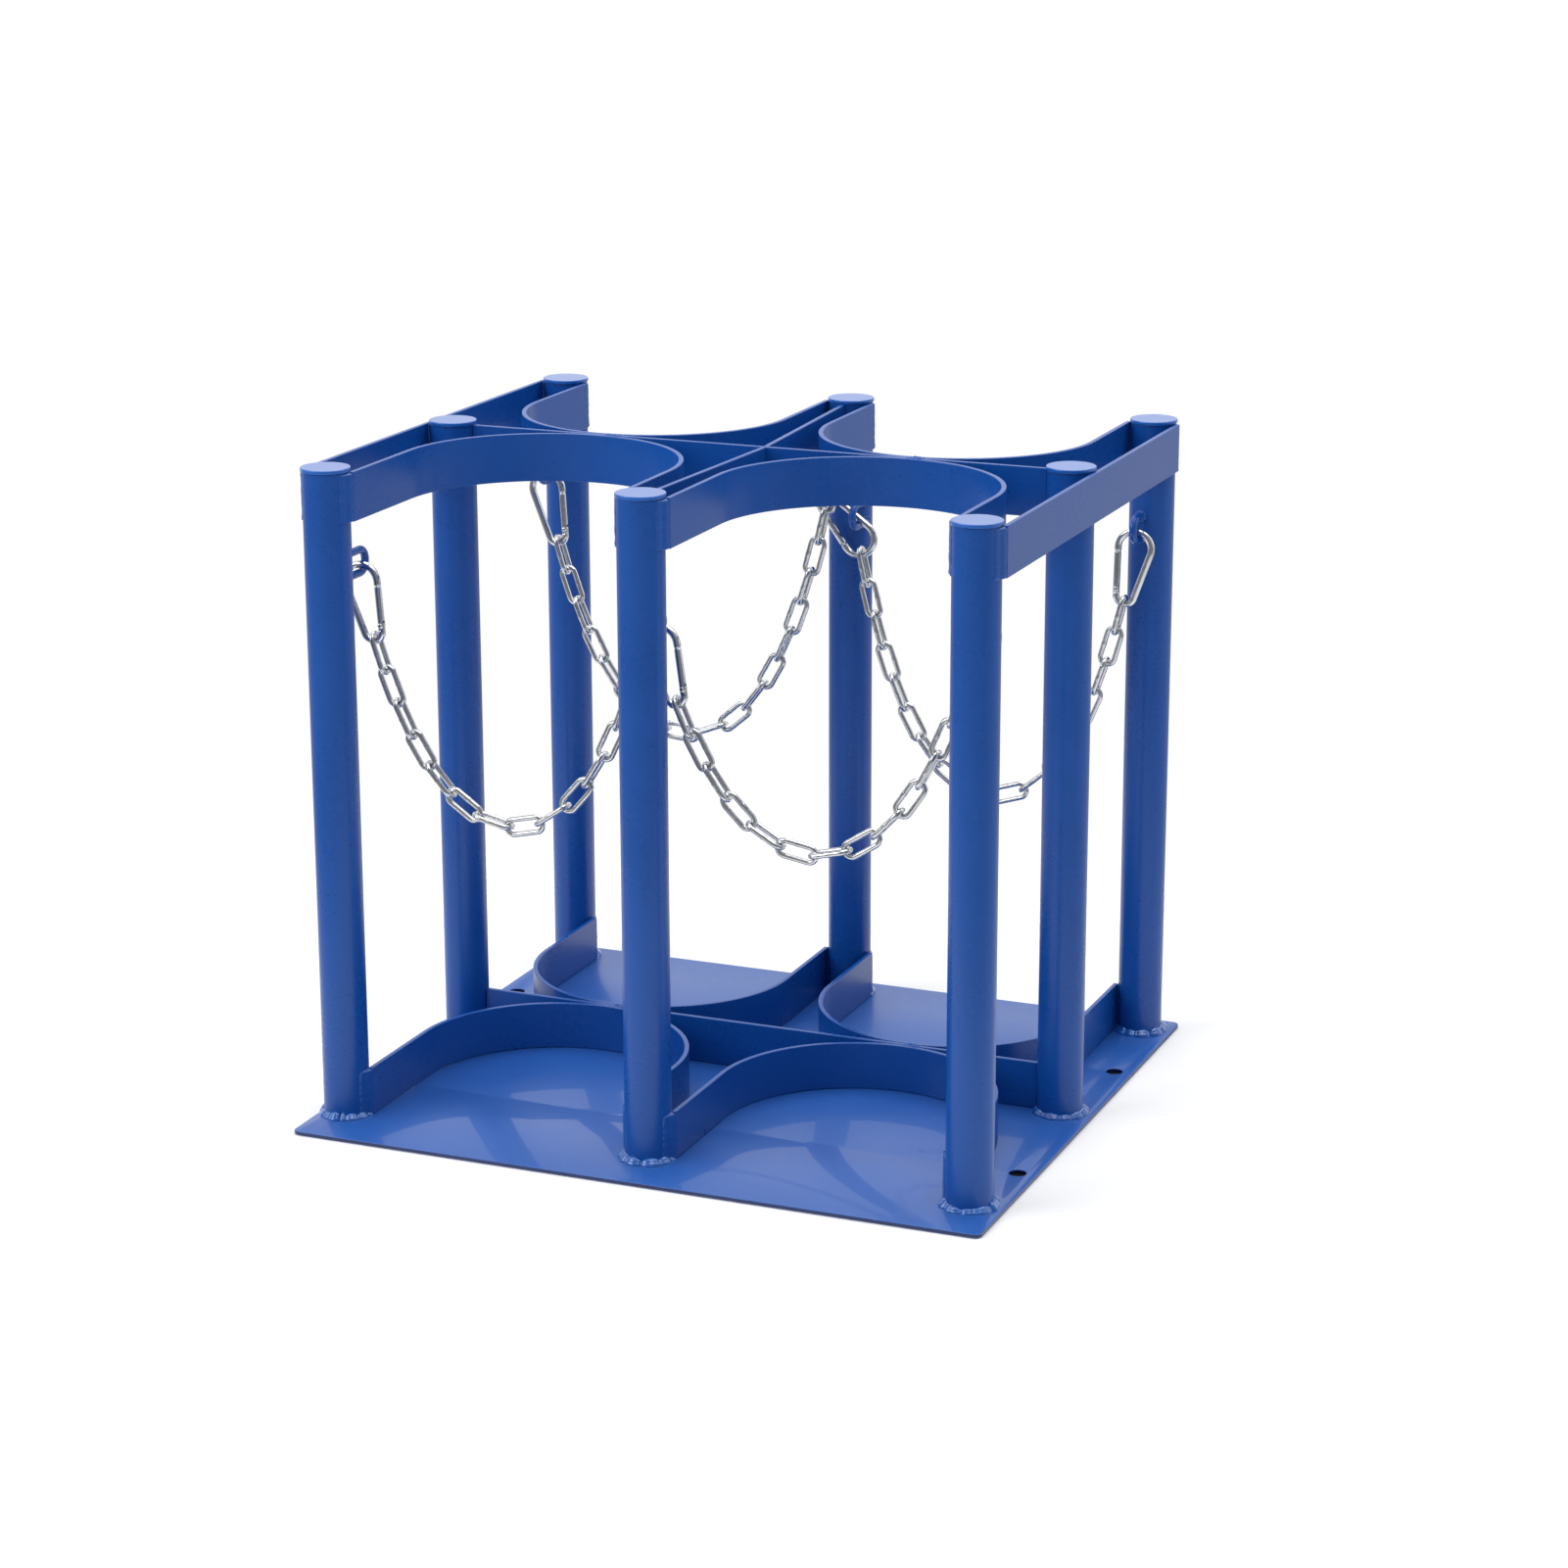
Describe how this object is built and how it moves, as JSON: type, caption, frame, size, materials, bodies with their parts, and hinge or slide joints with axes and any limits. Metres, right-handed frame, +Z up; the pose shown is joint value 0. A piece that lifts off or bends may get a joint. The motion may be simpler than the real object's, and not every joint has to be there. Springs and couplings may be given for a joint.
{
  "type": "cylinder storage rack",
  "caption": "Upright storage rack for diving or gas cylinders: tube posts on a base plate, flat-bar saddles bent round each bay, and safety chains with snap hooks.",
  "frame": {"origin": "middle of the underside of the base plate, on the floor", "axes": "+X to the right and +Y to the back as seen from the front, +Z up; the front of the rack is the side with the wider margin of plate in front of its posts"},
  "size_m": [0.5981, 0.5274, 0.5456],
  "materials": {
    "blue_paint": "semi-gloss royal blue paint over welded steel",
    "bright_zinc": "bright zinc plating"
  },
  "bodies": {
    "rack": {"base_plate": "blue_paint", "bottom_cross_bar": "blue_paint", "bottom_saddle_back_left": "blue_paint", "bottom_saddle_back_right": "blue_paint", "bottom_saddle_front_left": "blue_paint", "bottom_saddle_front_right": "blue_paint", "cap_back_left": "blue_paint", "cap_back_middle": "blue_paint", "cap_back_right": "blue_paint", "cap_front_left": "blue_paint", "cap_front_middle": "blue_paint", "cap_front_right": "blue_paint", "cap_middle_left": "blue_paint", "cap_middle_right": "blue_paint", "chain_eye_back_left_inner": "blue_paint", "chain_eye_back_left_outer": "blue_paint", "chain_eye_back_right_inner": "blue_paint", "chain_eye_back_right_outer": "blue_paint", "chain_eye_front_left_inner": "blue_paint", "chain_eye_front_left_outer": "blue_paint", "chain_eye_front_right_inner": "blue_paint", "chain_eye_front_right_outer": "blue_paint", "post_back_left": "blue_paint", "post_back_middle": "blue_paint", "post_back_right": "blue_paint", "post_front_left": "blue_paint", "post_front_middle": "blue_paint", "post_front_right": "blue_paint", "post_middle_left": "blue_paint", "post_middle_right": "blue_paint", "top_cross_bar": "blue_paint", "top_saddle_back_left": "blue_paint", "top_saddle_back_right": "blue_paint", "top_saddle_front_left": "blue_paint", "top_saddle_front_right": "blue_paint", "top_side_rail_left": "blue_paint", "top_side_rail_right": "blue_paint", "top_spine_back": "blue_paint", "top_spine_front": "blue_paint"},
    "swinging_chain_front_left": {"chain_front_left": "bright_zinc", "snap_hook_front_left_outer": "bright_zinc"},
    "swinging_chain_front_right": {"chain_front_right": "bright_zinc", "snap_hook_front_right_inner": "bright_zinc", "snap_hook_front_right_outer": "bright_zinc"},
    "swinging_chain_back_left": {"chain_back_left": "bright_zinc", "snap_hook_back_left_outer": "bright_zinc"},
    "swinging_chain_back_right": {"chain_back_right": "bright_zinc", "snap_hook_back_right_inner": "bright_zinc", "snap_hook_back_right_outer": "bright_zinc"},
    "sprung_gate_back_left_outer": {"hook_gate_back_left_outer": "bright_zinc"},
    "sprung_gate_back_right_inner": {"hook_gate_back_right_inner": "bright_zinc"},
    "sprung_gate_back_right_outer": {"hook_gate_back_right_outer": "bright_zinc"},
    "sprung_gate_front_left_outer": {"hook_gate_front_left_outer": "bright_zinc"},
    "sprung_gate_front_right_inner": {"hook_gate_front_right_inner": "bright_zinc"},
    "sprung_gate_front_right_outer": {"hook_gate_front_right_outer": "bright_zinc"}
  },
  "joints": [
    {"name": "chain_swing_front_left", "type": "hinge", "parent": "rack", "child": "swinging_chain_front_left", "pos_m": [-0.27695, -0.16015, 0.4569], "axis": [1, 0, -0.006], "range_deg": [-3, 45]},
    {"name": "chain_swing_front_right", "type": "hinge", "parent": "rack", "child": "swinging_chain_front_right", "pos_m": [-0.00575, -0.17815, 0.4331], "axis": [0.9934, 0, 0.1148], "range_deg": [-5, 35]},
    {"name": "chain_swing_back_left", "type": "hinge", "parent": "rack", "child": "swinging_chain_back_left", "pos_m": [-0.27755, 0.18865, 0.4676], "axis": [-0.998, 0, -0.0629], "range_deg": [-3, 45]},
    {"name": "chain_swing_back_right", "type": "hinge", "parent": "rack", "child": "swinging_chain_back_right", "pos_m": [0.01125, 0.20665, 0.4484], "axis": [-0.9998, 0, -0.02], "range_deg": [-5, 25]},
    {"name": "gate_open_back_left_outer", "type": "hinge", "parent": "swinging_chain_back_left", "child": "sprung_gate_back_left_outer", "pos_m": [-0.25784, 0.18865, 0.41837], "axis": [0, -1, 0], "range_deg": [0, 25], "stiffness_Nm_per_rad": 0.05, "springref_deg": -34.38},
    {"name": "gate_open_back_right_inner", "type": "hinge", "parent": "swinging_chain_back_right", "child": "sprung_gate_back_right_inner", "pos_m": [-0.01788, 0.20665, 0.44866], "axis": [0, -1, 0], "range_deg": [0, 23], "stiffness_Nm_per_rad": 0.05, "springref_deg": -34.38},
    {"name": "gate_open_back_right_outer", "type": "hinge", "parent": "swinging_chain_back_right", "child": "sprung_gate_back_right_outer", "pos_m": [0.24871, 0.20665, 0.40363], "axis": [0, 1, 0], "range_deg": [0, 25], "stiffness_Nm_per_rad": 0.05, "springref_deg": -34.38},
    {"name": "gate_open_front_left_outer", "type": "hinge", "parent": "swinging_chain_front_left", "child": "sprung_gate_front_left_outer", "pos_m": [-0.25638, -0.16015, 0.40802], "axis": [0, -1, 0], "range_deg": [0, 25], "stiffness_Nm_per_rad": 0.05, "springref_deg": -34.38},
    {"name": "gate_open_front_right_inner", "type": "hinge", "parent": "swinging_chain_front_right", "child": "sprung_gate_front_right_inner", "pos_m": [0.01776, -0.17815, 0.38557], "axis": [0, -1, 0], "range_deg": [0, 25], "stiffness_Nm_per_rad": 0.05, "springref_deg": -34.38},
    {"name": "gate_open_front_right_outer", "type": "hinge", "parent": "swinging_chain_front_right", "child": "sprung_gate_front_right_outer", "pos_m": [0.24422, -0.17815, 0.41617], "axis": [0, 1, 0], "range_deg": [0, 25], "stiffness_Nm_per_rad": 0.05, "springref_deg": -34.38}
  ]
}
